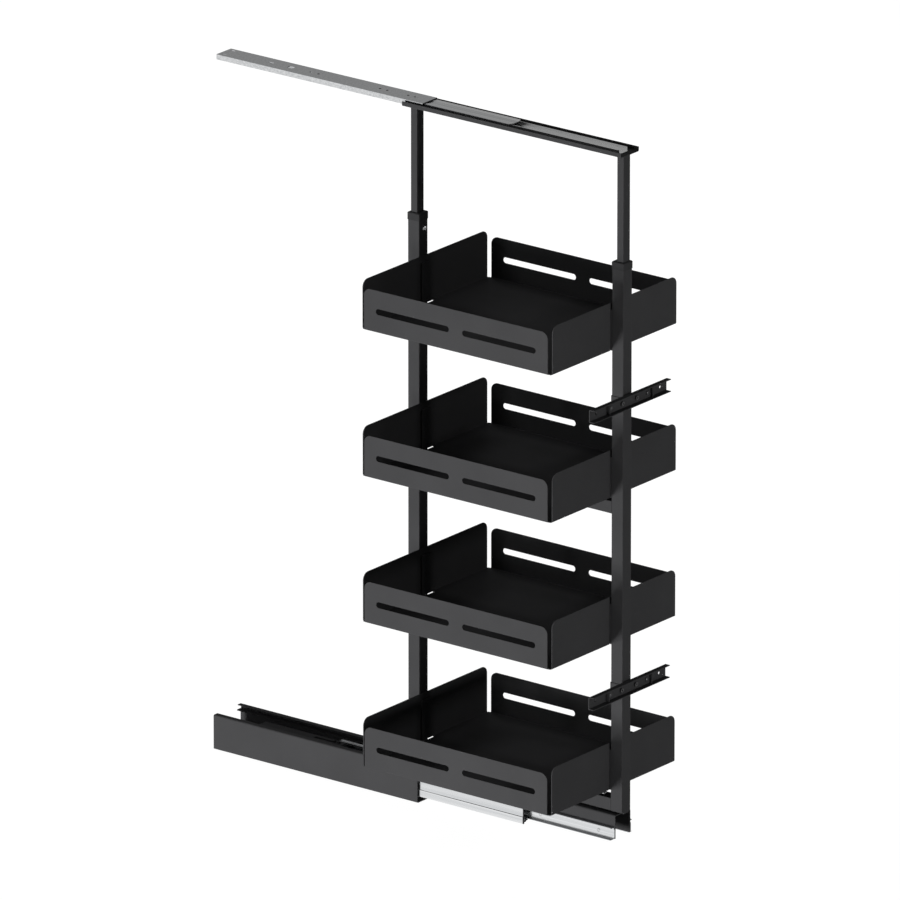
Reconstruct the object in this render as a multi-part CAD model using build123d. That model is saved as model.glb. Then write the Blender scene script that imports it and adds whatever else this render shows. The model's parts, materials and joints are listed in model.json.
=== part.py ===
from build123d import *
import math
import os

# Pull-out pantry frame, modelled pulled out. X runs across the cabinet, Y runs from front (-Y) to
# back (+Y), and Z is up. The origin is the middle of the base housing's underside.

# Running lengths of the pull-out
travel = 465
housing_length = 500
carrier_length = 497.8
carrier_front_inset = 2.2
bottom_middle_length = 496
bottom_middle_share = 0.542
bottom_middle_cap = 2.0
top_slide_length = 500
top_slide_shift = 2.6
top_middle_length = 496
top_middle_share = 0.445
ball_cage_length = 200

# Base housing, a sheet-metal trough screwed to the cabinet floor
housing_width = 87
housing_height = 70.4
housing_sheet = 1.5
housing_bend = 1.5
housing_lip = 12
base_hole_radius = 2.75
base_hole_pitch_x = 36
base_hole_inset = 35

# Bottom slides, one on each wall of the housing
slide_centre_height = 35.7
slide_depth = 17.7
slide_sheet = 1.5
outer_slide_height = 50
outer_slide_depth = 12.5
outer_slide_lip = 2.4
middle_slide_height = 46
middle_slide_gap = 1.0
middle_roll_depth = 3.0
middle_band_height = 17
middle_band_recess = 0.8
middle_lip = 1.0
inner_slide_height = 26
inner_slide_flange = 8.7
inner_ball_inset = 4.85
slide_ball_diameter = 3.5

# Top slide, flat on the top rail, its outer member screwed under the cabinet's top
top_plate_height = 1407
top_slide_depth = 11.5
top_slide_sheet = 1.2
top_outer_width = 45.3
top_outer_depth = 10.7
top_outer_lip = 2.2
top_middle_gap = 0.8
top_middle_lip = 1.0
top_middle_band_width = 18
top_middle_band_recess = 0.8
top_inner_flange = 7.9
top_inner_ball_inset = 5.15
top_ball_diameter = 3.2

# Details that the slides share
ball_clearance = 0.05
cage_width = 5.1
cage_thickness = 1.0
cage_pocket_clearance = 0.1
ball_pitch = 24
slide_edge_round = 0.5
slide_edge_round_share = 2.2
slide_nose_round = 7
top_hole_radius = 2.5
top_hole_distances = (212, 231, 380, 397, 448, 464)
top_slot_distance = 116
top_slot_length = 12
top_window_distance = 164
top_window_length = 13
top_window_width = 9
top_tab_slot_distance = 12
top_tab_slot_offset = 14
top_tab_slot_length = 9
top_tab_slot_width = 3

# Carrier, the inverted trough between the inner slide members
carrier_width = 48.6
carrier_top_height = 72.4
carrier_leg_bottom = 25
carrier_sheet = 2.0
carrier_bend = 1.5
carrier_rivet_radius = 2.0
carrier_rivet_head_radius = 3.4
carrier_rivet_head_height = 0.8
carrier_rivet_tail_height = 1.2
carrier_rivet_distances = (40, 180, 320, 460)
pickup_pin_radius = 2.5
pickup_pin_drop = 5.9
pickup_head_radius = 4.5
pickup_head_height = 1.5

# Posts and rails of the frame: square posts, and flatter tubes across them as wide as the posts
post_size = 27
cross_tube_height = 25
post_wall = 1.5
post_corner = 1.2
tube_inner_corner_share = 0.25
post_pitch = 489.5
post_front_setback = 7.5
post_bottom_height = 75.6
post_top_drop = 236
cross_rail_gap = 4.7
foot_plate_length = 66
foot_plate_width = 16
foot_bolt_radius = 2.9
foot_bolt_head_radius = 4.6
foot_bolt_head_height = 3.0
foot_bolt_distance = 26.6
foot_bolt_overrun = 1.0
foot_nut_radius = 5.0
foot_nut_height = 4.0
hole_clearance = 0.15

# Plastic collars on top of the posts, and the clamp screws below them
collar_size = 29.2
collar_corner = 2.0
collar_chamfer = 1.5
collar_skirt = 6
collar_crown = 9
collar_plug_depth = 14
collar_fit = 0.1
collar_plug_corner = 0.4
inner_tube_fit = 0.2
clamp_screw_drop = 22.5
clamp_screw_radius = 2.95
clamp_screw_head_radius = 4.4
clamp_screw_head_height = 2.3
clamp_screw_tip_gap = 0.3
clamp_nut_radius = 4.5
clamp_nut_flange_radius = 5.6
clamp_nut_flange_height = 0.8
clamp_nut_depth = 4.4
socket_radius = 1.9
socket_depth = 1.8

# Upper frame: two tubes that telescope in the posts, and the rail across them
inner_tube_width = 20.9
inner_tube_depth = 15.3
inner_tube_wall = 1.5
inner_tube_corner = 1.0
inner_tube_offset = 2.0
upper_frame_set_forward = 0.9
inner_tube_insertion = 150
rail_width = 56.5
rail_wall_height = 9.3
rail_sheet = 1.5
rail_bend = 1.2
rail_front_overhang = 3.9
rail_length = 523
rail_rivet_radius = 2.0
rail_rivet_head_radius = 3.4
rail_rivet_head_height = 0.9
rail_rivet_distances = (34, 170, 330, 466)

# Baskets of bent sheet
basket_count = 4
basket_length = 455.4
basket_width = 396.5
basket_sheet = 1.5
basket_bend = 1.5
basket_side_height = 84.1
basket_end_height = 96.4
basket_side_gap = 7.9
basket_end_gap = 5.3
basket_corner_round = 15
basket_top_drop = 171.6
basket_lowest_floor = 115.3
side_slot_length = 175.4
side_slot_width = 12
side_slot_height = 42.1
side_slot_bridge = 31.8
floor_slit_length = 42
floor_slit_depth = 5.6

# Hangers welded on the posts: a channel through the basket's end wall and a plate inside the basket
hanger_sheet = 2.0
hanger_bend = 0.5
hanger_rise = 2.0
hanger_top_drop = 13
hanger_plate_width = 31
hanger_plate_sheet = 3.0
hanger_plate_round = 4
hanger_wall_gap = 0.3
hanger_slot_clearance = 0.5

# Door brackets on the front post
upper_bracket_drop = 266.3
lower_bracket_drop = 81.3
bracket_length = 240
bracket_height = 25.5
bracket_depth = 12.3
bracket_sheet = 1.5
bracket_bend = 1.0
bracket_post_gap = 0.3
door_hole_pitch = 200
door_hole_radius = 2.75
strap_height = 14
strap_sheet = 1.5
strap_bend = 1.0
strap_post_gap = 0.2
strap_ear_reach = 31
plate_length = 136
plate_height = 20
plate_sheet = 2.0
plate_bend = 1.0
plate_end_flange = 6
bracket_screw_pitch = 45
bracket_screw_radius = 2.4
bracket_screw_head_radius = 4.4
bracket_screw_head_height = 3.6
bracket_screw_slot_length = 12
bracket_nut_radius = 4.4
bracket_nut_height = 4.0
bracket_screw_overrun = 2.0
lock_screw_pitch = 114
lock_screw_radius = 2.0
lock_screw_head_radius = 4.2
lock_screw_head_height = 2.2
cross_recess_length = 6
cross_recess_width = 1.2
cross_recess_depth = 1.2

# Self-closing damper in the housing
damper_front = -36
damper_length = 200
damper_width = 22
damper_bottom = 36
damper_top = 60
damper_wall = 1.6
damper_bracket_sheet = 1.5
damper_bracket_foot = 10
damper_screw_radius = 1.9
damper_screw_head_radius = 3.4
damper_screw_head_height = 2.0
damper_screw_inset = 12
damper_screw_floor_recess = 0.2
cylinder_radius = 5
cylinder_wall = 1.0
cylinder_end = 2.0
cylinder_length = 90
cylinder_back_gap = 8
rod_radius = 1.5
rod_length = 86
rod_clearance = 0.1
catch_front_gap = 8
catch_length = 20
catch_side_clearance = 1.0
catch_end_clearance = 0.4
catch_neck_width = 6
catch_neck_length = 16
catch_neck_height = 4
catch_notch = 6
catch_notch_depth = 4
catch_slot_clearance = 0.4
catch_travel = 45
spring_radius = 3.2
spring_wire = 0.9
spring_rise = 15
hook_radius = 1.0
hook_hold = 4

# How far a cutter runs past what it cuts, and the least distance between two points of an outline
overrun = 1.0
join_tolerance = 0.0001

# Places worked out from the sizes above
front_end = -(housing_length / 2 + travel)
carrier_front = front_end + carrier_front_inset
rear_post_y = front_end + post_front_setback + post_pitch
front_post_y = front_end + post_front_setback
basket_centre_y = (rear_post_y + front_post_y) / 2
wall_face_x = housing_width / 2 - housing_sheet
rail_front = front_post_y - post_size / 2 - rail_front_overhang
post_top_height = top_plate_height - post_top_drop
collar_bottom_height = post_top_height - collar_skirt
collar_top_height = post_top_height + collar_crown
collar_plug_bottom_height = post_top_height - collar_plug_depth
clamp_screw_height = post_top_height - clamp_screw_drop
upper_bracket_height = post_top_height - upper_bracket_drop
rail_floor_top = top_plate_height - top_slide_depth
rail_bottom = rail_floor_top - rail_sheet
top_slide_front = top_slide_shift - top_slide_length / 2
basket_top_floor = post_top_height - basket_top_drop
basket_pitch = (basket_top_floor - basket_lowest_floor) / max(basket_count - 1, 1)
basket_floors = [basket_top_floor - basket_pitch * level for level in range(basket_count)]
lower_bracket_height = basket_floors[-2 if basket_count > 1 else 0] - lower_bracket_drop
cross_rail_height = basket_top_floor - basket_pitch - cross_rail_gap - cross_tube_height
hanger_top = basket_end_height - hanger_top_drop
post_half = post_size / 2
rear_post_face = rear_post_y - post_half
front_post_face = front_post_y + post_half
catch_front = damper_front + catch_front_gap
catch_centre = catch_front + catch_length / 2
rod_height = damper_bottom + damper_wall + cylinder_radius
spring_height = damper_bottom + damper_wall + spring_rise

UP = (0, 0, 1)
DOWN = (0, 0, -1)
FRONT = (0, -1, 0)
BACK = (0, 1, 0)
RIGHT = (1, 0, 0)
SIDES = {"left": -1, "right": 1}


def block(low, high):
    """Box between two opposite corners."""
    return Solid.make_box(*[b - a for a, b in zip(low, high)], Plane(origin=low))


def rod(start, direction, radius, length):
    """Round bar from a point along a direction."""
    return Solid.make_cylinder(radius, length, Plane(origin=start, z_dir=direction))


def ball(centre, radius):
    """Sphere about a point."""
    return Solid.make_sphere(radius).moved(Location(centre))


def fuse(solids):
    """All the solids as one."""
    whole = solids[0]
    for solid in solids[1:]:
        whole = whole + solid
    return whole


def rounded_face(points, radii):
    """Face inside a closed outline with its corners rounded."""
    corners = [Vector(*point) for point in points]
    turns = []
    for index, (corner, radius) in enumerate(zip(corners, radii)):
        back = (corners[index - 1] - corner).normalized()
        ahead = (corners[(index + 1) % len(corners)] - corner).normalized()
        half = math.radians(back.get_angle(ahead) / 2)
        reach = radius / math.tan(half) if radius else 0
        top = corner + (back + ahead).normalized() * (radius / math.sin(half) - radius) if radius else corner
        turns.append((corner + back * reach, top, corner + ahead * reach))
    edges = []
    for index, (start, top, end) in enumerate(turns):
        last = turns[index - 1][2]
        if (start - last).length > join_tolerance:
            edges.append(Edge.make_line(last, start))
        if radii[index]:
            edges.append(Edge.make_three_point_arc(start, top, end))
    return Face(Wire(edges))


def prism(points, radii, along, start, length):
    """Closed outline, drawn square to an axis with its corners rounded, run along that axis."""
    place = {
        "x": lambda a, b: (start, a, b),
        "y": lambda a, b: (a, start, b),
        "z": lambda a, b: (a, b, start),
    }[along]
    direction = {"x": (length, 0, 0), "y": (0, length, 0), "z": (0, 0, length)}[along]
    return Solid.extrude(rounded_face([place(a, b) for a, b in points], radii), direction)


def rounded_box(width, depth, radius, centre, start, length):
    """Upright square bar with rounded corners."""
    x, y = centre
    points = [(x + a * width / 2, y + b * depth / 2) for a, b in ((-1, -1), (1, -1), (1, 1), (-1, 1))]
    return prism(points, [radius] * len(points), "z", start, length)


def square_tube(width, depth, wall, radius, centre, start, length):
    """Upright square tube with rounded corners."""
    outer = rounded_box(width, depth, radius, centre, start, length)
    inner = rounded_box(
        width - 2 * wall, depth - 2 * wall, max(radius - wall, wall * tube_inner_corner_share), centre,
        start - overrun, length + 2 * overrun,
    )
    return outer - inner


def lying_tube(start, length, bottom):
    """Frame tube that lies along Y, as wide as the posts."""
    upright = square_tube(post_size, cross_tube_height, post_wall, post_corner, (0, 0), 0, length)
    laid = upright.rotate(Axis.X, -90)
    return laid.moved(Location((0, start, bottom + cross_tube_height / 2)))


def bent_sheet(path, thickness, bend, along, start, length):
    """Bent sheet run along an axis; the path is one of its faces and the metal lies to its left."""
    near, far, near_radii, far_radii = [], [], [], []
    steps = [(b[0] - a[0], b[1] - a[1]) for a, b in zip(path, path[1:])]
    units = [(dx / math.hypot(dx, dy), dy / math.hypot(dx, dy)) for dx, dy in steps]
    normals = [(-dy, dx) for dx, dy in units]
    for index, point in enumerate(path):
        before = normals[max(index - 1, 0)]
        after = normals[min(index, len(normals) - 1)]
        scale = thickness / (1 + before[0] * after[0] + before[1] * after[1])
        shift = ((before[0] + after[0]) * scale, (before[1] + after[1]) * scale)
        turn = before[0] * after[1] - before[1] * after[0]
        is_end = index in (0, len(path) - 1)
        near.append(point)
        far.append((point[0] + shift[0], point[1] + shift[1]))
        near_radii.append(0 if is_end else bend + (thickness if turn > 0 else 0))
        far_radii.append(0 if is_end else bend + (0 if turn > 0 else thickness))
    return prism(near + far[::-1], near_radii + far_radii[::-1], along, start, length)


def slot_cutter(centre, run, through, length, width, depth):
    """Round-ended cutter: it runs along one axis and passes through along another."""
    run, through = Vector(*run), Vector(*through)
    side = run.cross(through)
    middle = Vector(*centre) - through * (depth / 2)
    straight = length - width
    low = middle - run * (straight / 2) - side * (width / 2)
    high = low + run * straight + side * width + through * depth
    low_corner = [min(a, b) for a, b in zip(tuple(low), tuple(high))]
    high_corner = [max(a, b) for a, b in zip(tuple(low), tuple(high))]
    ends = [rod(middle + run * (s * straight / 2), through, width / 2, depth) for s in (-1, 1)]
    return fuse([block(low_corner, high_corner)] + ends)


def hexagon(centre, radius, along, start, length):
    """Hexagonal nut blank along an axis; the radius is half its width across flats."""
    reach = radius / math.cos(math.pi / 6)
    a, b = centre
    angles = [math.pi / 3 * corner for corner in range(6)]
    points = [(a + reach * math.cos(angle), b + reach * math.sin(angle)) for angle in angles]
    return prism(points, [0] * len(points), along, start, length)


def tidy(points):
    """Closed outline without repeated points and points in line with their neighbours."""
    apart = [p for p, q in zip(points, points[1:] + points[:1]) if math.dist(p, q) > join_tolerance]
    kept = []
    for index, point in enumerate(apart):
        before, after = apart[index - 1], apart[(index + 1) % len(apart)]
        ahead = math.dist(before, point) + math.dist(point, after)
        if ahead - math.dist(before, after) > join_tolerance:
            kept.append(point)
    return kept


def softened(points, radius):
    """Radius for each corner: none where a neighbouring edge is too short for it."""
    count = len(points)
    radii = []
    for index in range(count):
        reach = min(
            math.dist(points[index], points[index - 1]),
            math.dist(points[index], points[(index + 1) % count]),
        )
        radii.append(radius if reach > radius * slide_edge_round_share else 0)
    return radii


class SlideSection:
    """Cross-section of a ball slide: d is measured off the outer member's back, h across the slide."""

    def __init__(self, depth, sheet, outer, outer_depth, outer_lip, gap, lip, flange, inset, ball_size):
        self.depth, self.sheet = depth, sheet
        self.outer_half, self.outer_depth, self.outer_lip = outer / 2, outer_depth, outer_lip
        self.gap, self.lip, self.flange = gap, lip, flange
        self.ball = ball_size
        self.race = ball_size + 2 * ball_clearance
        self.outer_race = self.outer_half - sheet - self.race
        self.inner_half = self.outer_race - sheet - self.race
        self.middle_half = self.outer_race
        self.roll, self.band_half, self.band_recess = 0, 0, 0
        self.outer_ball_d = (gap + 2 * sheet + outer_depth - sheet) / 2
        self.inner_ball_d = depth - inset

    def outer_outline(self):
        """Channel with a small lip turned in at each edge."""
        t, d, h, lip = self.sheet, self.outer_depth, self.outer_half, self.outer_lip
        half = [(0, h), (d, h), (d, h - lip), (d - t, h - lip), (d - t, h - t), (t, h - t)]
        return half + [(a, -b) for a, b in half[::-1]]

    def middle_outline(self):
        """Channel inside the outer one, its flanges running between the two rows of balls."""
        t, back = self.sheet, self.sheet + self.gap
        tip = self.depth - t
        inner_race = self.inner_half + self.race
        step_start = self.inner_ball_d - self.ball / 2 - ball_clearance - t
        upper = [
            (back + self.band_recess, 0),
            (back + self.band_recess, self.band_half),
            (back, self.band_half + self.band_recess),
            (back, self.middle_half),
            (back + self.roll, self.middle_half),
            (back + self.roll, self.outer_race),
            (step_start + t, self.outer_race),
            (step_start + t, inner_race + t),
            (tip, inner_race + t),
            (tip, inner_race - self.lip),
            (tip - t, inner_race - self.lip),
            (tip - t, inner_race),
            (step_start, inner_race),
            (step_start, self.outer_race - t),
            (back + t, self.outer_race - t),
            (back + t, self.band_half + self.band_recess),
            (back + t + self.band_recess, self.band_half),
            (back + t + self.band_recess, 0),
        ]
        turned = upper[1:-1]
        return tidy(turned + [(a, -b) for a, b in turned[::-1]])

    def inner_outline(self):
        """Channel that faces the outer one, its back on what it carries."""
        t, back, h = self.sheet, self.depth, self.inner_half
        tip = back - self.flange
        half = [(back, h), (tip, h), (tip, h - t), (back - t, h - t)]
        return half + [(a, -b) for a, b in half[::-1]]

    def outer_ball_h(self):
        """Height of the outer row of balls."""
        return self.outer_half - self.sheet - ball_clearance - self.ball / 2

    def inner_ball_h(self):
        """Height of the inner row of balls."""
        return self.inner_half + ball_clearance + self.ball / 2


bottom_section = SlideSection(
    slide_depth, slide_sheet, outer_slide_height, outer_slide_depth, outer_slide_lip, middle_slide_gap,
    middle_lip, inner_slide_flange, inner_ball_inset, slide_ball_diameter,
)
bottom_section.middle_half = middle_slide_height / 2
bottom_section.inner_half = inner_slide_height / 2
bottom_section.roll = middle_roll_depth
bottom_section.outer_ball_d += middle_roll_depth / 4
bottom_section.band_half = middle_band_height / 2
bottom_section.band_recess = middle_band_recess
top_section = SlideSection(
    top_slide_depth, top_slide_sheet, top_outer_width, top_outer_depth, top_outer_lip, top_middle_gap,
    top_middle_lip, top_inner_flange, top_inner_ball_inset, top_ball_diameter,
)
top_section.band_half = top_middle_band_width / 2
top_section.band_recess = top_middle_band_recess


def bottom_place(side, d, h):
    """Section point of a bottom slide as X and Z."""
    return side * (wall_face_x - d), slide_centre_height + h


def top_place(d, h):
    """Section point of the top slide as X and Z."""
    return h, top_plate_height - d


def nosed(member, side_on, low, high, front, length):
    """Slide member with its front corners rounded, seen from the side or from above."""
    back = front + length
    nose = [slide_nose_round, slide_nose_round, 0, 0]
    if side_on:
        points = [(front, high), (front, low), (back, low), (back, high)]
        return member & prism(points, nose, "x", -housing_width, 2 * housing_width)
    points = [(high, front), (low, front), (low, back), (high, back)]
    return member & prism(points, nose, "z", rail_bottom, top_plate_height - rail_bottom)


def bottom_member(side, outline, front, length):
    """Member of a bottom slide on one side of the housing, cut square at its ends."""
    points = [bottom_place(side, d, h) for d, h in outline]
    return prism(points, softened(points, slide_edge_round), "y", front, length)


def top_member(outline, front, length):
    """Member of the top slide."""
    points = [top_place(d, h) for d, h in outline]
    member = prism(points, softened(points, slide_edge_round), "y", front, length)
    widths = [x for x, z in points]
    return nosed(member, False, min(widths), max(widths), front, length)


def ball_places(centre_y):
    """Places of the balls along one cage."""
    count = int(ball_cage_length / ball_pitch)
    return [centre_y + (index - (count - 1) / 2) * ball_pitch for index in range(count)]


def cage_strip(centre, upright, centre_y, ball_size):
    """Strip with a pocket for each ball; upright strips have the balls' way along Z."""
    x, z = centre
    size = (cage_width, cage_thickness) if upright else (cage_thickness, cage_width)
    half_x, half_z = size[0] / 2, size[1] / 2
    y0, y1 = centre_y - ball_cage_length / 2, centre_y + ball_cage_length / 2
    strip = block((x - half_x, y0, z - half_z), (x + half_x, y1, z + half_z))
    for y in ball_places(centre_y):
        start = (x, y, z - cage_thickness) if upright else (x - cage_thickness, y, z)
        pocket = ball_size / 2 + cage_pocket_clearance
        strip = strip - rod(start, UP if upright else RIGHT, pocket, 2 * cage_thickness)
    return strip


def bottom_rows(d, h):
    """X and Z of the four rows of balls at one section point of the bottom slides."""
    return [bottom_place(side, d, sign * h) for side in SIDES.values() for sign in (-1, 1)]


def top_rows(d, h):
    """X and Z of the two rows of balls at one section point of the top slide."""
    return [top_place(d, sign * h) for sign in (-1, 1)]


def ball_set(rows, centre_y, ball_size):
    """Balls of all the rows."""
    return [ball((x, y, z), ball_size / 2) for x, z in rows for y in ball_places(centre_y)]


def base_housing():
    """Trough with its top edges turned in, and four screw holes in the floor."""
    half, lip = housing_width / 2, housing_width / 2 - housing_lip
    path = [(-lip, housing_height), (-half, housing_height), (-half, 0)]
    path += [(half, 0), (half, housing_height), (lip, housing_height)]
    trough = bent_sheet(path, housing_sheet, housing_bend, "y", -housing_length / 2, housing_length)
    for x in (-base_hole_pitch_x / 2, base_hole_pitch_x / 2):
        for side in SIDES.values():
            start = (x, side * (housing_length / 2 - base_hole_inset), -overrun)
            trough = trough - rod(start, UP, base_hole_radius, housing_sheet + 2 * overrun)
    for x, y in damper_screw_places():
        radius = damper_screw_radius + hole_clearance
        trough = trough - rod((x, y, -overrun), UP, radius, housing_sheet + 2 * overrun)
    return trough


def damper_screw_places():
    """X and Y of the four screws that hold the damper's bracket."""
    x = damper_width / 2 + damper_bracket_foot / 2
    ends = (damper_front + damper_screw_inset, damper_front + damper_length - damper_screw_inset)
    return [(side * x, y) for side in SIDES.values() for y in ends]


def damper_bracket():
    """Hat-shaped bracket that lifts the damper off the housing's floor."""
    foot, sheet, floor = damper_width / 2 + damper_bracket_foot, damper_bracket_sheet, housing_sheet
    half, top = damper_width / 2 - sheet, damper_bottom - sheet
    path = [(-foot, floor), (-half, floor), (-half, top), (half, top), (half, floor), (foot, floor)]
    hat = bent_sheet(path, sheet, sheet, "y", damper_front, damper_length)
    for x, y in damper_screw_places():
        hat = hat - rod((x, y, 0), UP, damper_screw_radius + hole_clearance, 2 * (housing_sheet + sheet))
    return hat


def damper_screws():
    """Four screws through the bracket's feet into the floor."""
    screws = []
    head_bottom = housing_sheet + damper_bracket_sheet
    for x, y in damper_screw_places():
        start = (x, y, damper_screw_floor_recess)
        shank = rod(start, UP, damper_screw_radius, head_bottom - damper_screw_floor_recess)
        head = rod((x, y, head_bottom), UP, damper_screw_head_radius, damper_screw_head_height)
        screws.append(shank + head)
    return screws


def damper_case():
    """Hollow case with a slot in its top for the catch's neck."""
    half, wall = damper_width / 2, damper_wall
    back = damper_front + damper_length
    shell = block((-half, damper_front, damper_bottom), (half, back, damper_top))
    low = (-half + wall, damper_front + wall, damper_bottom + wall)
    shell = shell - block(low, (half - wall, back - wall, damper_top - wall))
    neck_half = catch_neck_width / 2 + catch_slot_clearance
    slot_front = catch_centre - catch_neck_length / 2 - catch_slot_clearance
    slot_back = catch_centre + catch_neck_length / 2 + catch_slot_clearance + catch_travel
    top_low, top_high = damper_top - wall - overrun, damper_top + overrun
    return shell - block((-neck_half, slot_front, top_low), (neck_half, slot_back, top_high))


def damper_cylinder():
    """Oil cylinder on the case's floor, with a hole for the rod in its front end."""
    back = damper_front + damper_length - damper_wall - cylinder_back_gap
    front = back - cylinder_length
    body = rod((0, front, rod_height), BACK, cylinder_radius, cylinder_length)
    bore_start = (0, front + cylinder_end, rod_height)
    bore = rod(bore_start, BACK, cylinder_radius - cylinder_wall, cylinder_length - 2 * cylinder_end)
    hole_start = (0, front - overrun, rod_height)
    hole = rod(hole_start, BACK, rod_radius + rod_clearance, cylinder_end + 2 * overrun)
    return body - bore - hole


def damper_catch():
    """Sliding catch: a block with a notched neck through the slot and a hook into the spring."""
    half = damper_width / 2 - damper_wall - catch_side_clearance
    low = damper_bottom + damper_wall + catch_end_clearance
    high = damper_top - damper_wall - catch_end_clearance
    body = block((-half, catch_front, low), (half, catch_front + catch_length, high))
    neck_front = catch_centre - catch_neck_length / 2
    neck_top = damper_top + catch_neck_height
    neck_half = catch_neck_width / 2
    neck_back = neck_front + catch_neck_length
    neck = block((-neck_half, neck_front, high - overrun), (neck_half, neck_back, neck_top))
    notch_low = (-neck_half - overrun, catch_centre - catch_notch / 2, neck_top - catch_notch_depth)
    notch_high = (neck_half + overrun, catch_centre + catch_notch / 2, neck_top + overrun)
    hook = rod((0, catch_front + catch_length, spring_height), BACK, hook_radius, catch_travel + hook_hold)
    return body + neck + hook - block(notch_low, notch_high)


def damper_rod():
    """Piston rod from the catch into the cylinder."""
    return rod((0, catch_front + catch_length, rod_height), BACK, rod_radius, rod_length)


def damper_spring():
    """Tension spring at its shut length, as the plain tube that its coils fill."""
    front = catch_front + catch_length + catch_travel + catch_slot_clearance
    back = damper_front + damper_length - damper_wall
    start = (0, front, spring_height)
    outside = rod(start, BACK, spring_radius, back - front)
    return outside - rod(start, BACK, spring_radius - 2 * spring_wire, back - front)


def carrier_rivet_places():
    """Y of the rivets that join the inner members to the carrier."""
    return [front_end + distance for distance in carrier_rivet_distances]


def carrier():
    """Inverted trough with rivet holes in its legs and bolt holes in its top."""
    half = carrier_width / 2
    path = [(half, carrier_leg_bottom), (half, carrier_top_height)]
    path += [(-half, carrier_top_height), (-half, carrier_leg_bottom)]
    beam = bent_sheet(path, carrier_sheet, carrier_bend, "y", carrier_front, carrier_length)
    for y in carrier_rivet_places():
        start = (-half - overrun, y, slide_centre_height)
        beam = beam - rod(start, RIGHT, carrier_rivet_radius + hole_clearance, carrier_width + 2 * overrun)
    for rear in (True, False):
        beam = beam - foot_bolt_hole(rear, carrier_top_height - carrier_sheet, carrier_top_height)
    depth = carrier_sheet + 2 * overrun
    start = (0, pickup_pin_y(), carrier_top_height - depth + overrun)
    return beam - rod(start, UP, pickup_pin_radius + hole_clearance, depth)


def pickup_pin_y():
    """Where the pin stands, so that it meets the catch's notch when the frame is shut."""
    return catch_centre + catch_travel - travel


def pickup_pin():
    """Headed pin under the carrier's top that works the catch."""
    bottom = carrier_top_height - carrier_sheet - pickup_pin_drop
    y = pickup_pin_y()
    shank = rod((0, y, bottom), UP, pickup_pin_radius, carrier_top_height - bottom)
    return shank + rod((0, y, carrier_top_height), UP, pickup_head_radius, pickup_head_height)


def inner_slide(side):
    """Inner member of a bottom slide, with its rivet holes."""
    member = bottom_member(side, bottom_section.inner_outline(), carrier_front, carrier_length)
    low = slide_centre_height - bottom_section.inner_half
    high = slide_centre_height + bottom_section.inner_half
    member = nosed(member, True, low, high, carrier_front, carrier_length)
    reach = slide_sheet + 2 * overrun
    for y in carrier_rivet_places():
        x = side * (carrier_width / 2 + slide_sheet + overrun)
        radius = carrier_rivet_radius + hole_clearance
        member = member - rod((x, y, slide_centre_height), (-side, 0, 0), radius, reach)
    return member


def carrier_rivets():
    """Rivets with a head in the inner member and a tail inside the carrier."""
    rivets = []
    grip = slide_sheet + carrier_sheet
    z, wide = slide_centre_height, carrier_rivet_head_radius
    for side in SIDES.values():
        x = side * (carrier_width / 2 + slide_sheet)
        inward = (-side, 0, 0)
        for y in carrier_rivet_places():
            shank = rod((x, y, z), inward, carrier_rivet_radius, grip)
            head_x = x + side * carrier_rivet_head_height
            head = rod((head_x, y, z), inward, wide, carrier_rivet_head_height)
            tail = rod((x - side * grip, y, z), inward, wide, carrier_rivet_tail_height)
            rivets.append(shank + head + tail)
    return rivets


def foot_plate_span(rear):
    """Front and back of a foot plate, which lies inwards from its post's outer face."""
    if rear:
        back = rear_post_y + post_half
        return back - foot_plate_length, back
    front = front_post_y - post_half
    return front, front + foot_plate_length


def foot_bolt_y(rear):
    """Y of the bolt beside a post."""
    return rear_post_face - foot_bolt_distance if rear else front_post_face + foot_bolt_distance


def foot_bolt_hole(rear, low, high):
    """Cutter for a foot bolt's hole between two heights."""
    start = (0, foot_bolt_y(rear), low - overrun)
    return rod(start, UP, foot_bolt_radius + hole_clearance, high - low + 2 * overrun)


def foot_plate(rear):
    """Plate between the carrier and a post, narrower than the tubes on it."""
    front, back = foot_plate_span(rear)
    half = foot_plate_width / 2
    plate = block((-half, front, carrier_top_height), (half, back, post_bottom_height))
    return plate - foot_bolt_hole(rear, carrier_top_height, post_bottom_height)


def foot_bolts():
    """Bolts down through the bottom tube, the foot plates and the carrier's top, and their nuts."""
    pieces = []
    nut_bottom = carrier_top_height - carrier_sheet - foot_nut_height
    tip = nut_bottom - foot_bolt_overrun
    head_bottom = post_bottom_height + cross_tube_height
    for rear in (True, False):
        y = foot_bolt_y(rear)
        shank = rod((0, y, tip), UP, foot_bolt_radius, head_bottom - tip)
        head = rod((0, y, head_bottom), UP, foot_bolt_head_radius, foot_bolt_head_height)
        socket_start = (0, y, head_bottom + foot_bolt_head_height - socket_depth)
        pieces.append(shank + head - rod(socket_start, UP, socket_radius, socket_depth + overrun))
        nut = hexagon((0, y), foot_nut_radius, "z", nut_bottom, foot_nut_height)
        bore_start = (0, y, nut_bottom - overrun)
        pieces.append(nut - rod(bore_start, UP, foot_bolt_radius + ball_clearance, 2 * foot_nut_height))
    return pieces


def bottom_tube():
    """Tube between the posts' feet, with the foot bolts' holes through it."""
    length = rear_post_face - front_post_face
    tube = lying_tube(front_post_face, length, post_bottom_height)
    for rear in (True, False):
        tube = tube - foot_bolt_hole(rear, post_bottom_height, post_bottom_height + cross_tube_height)
    return tube


def post(rear):
    """Square post with a hole for the clamp nut in its inner face."""
    y = rear_post_y if rear else front_post_y
    height = post_top_height - post_bottom_height
    tube = square_tube(post_size, post_size, post_wall, post_corner, (0, y), post_bottom_height, height)
    face = rear_post_face if rear else front_post_face
    outward = BACK if rear else FRONT
    start = face - overrun if rear else face + overrun
    depth = post_wall + 2 * overrun
    return tube - rod((0, start, clamp_screw_height), outward, clamp_nut_radius + hole_clearance, depth)


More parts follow.
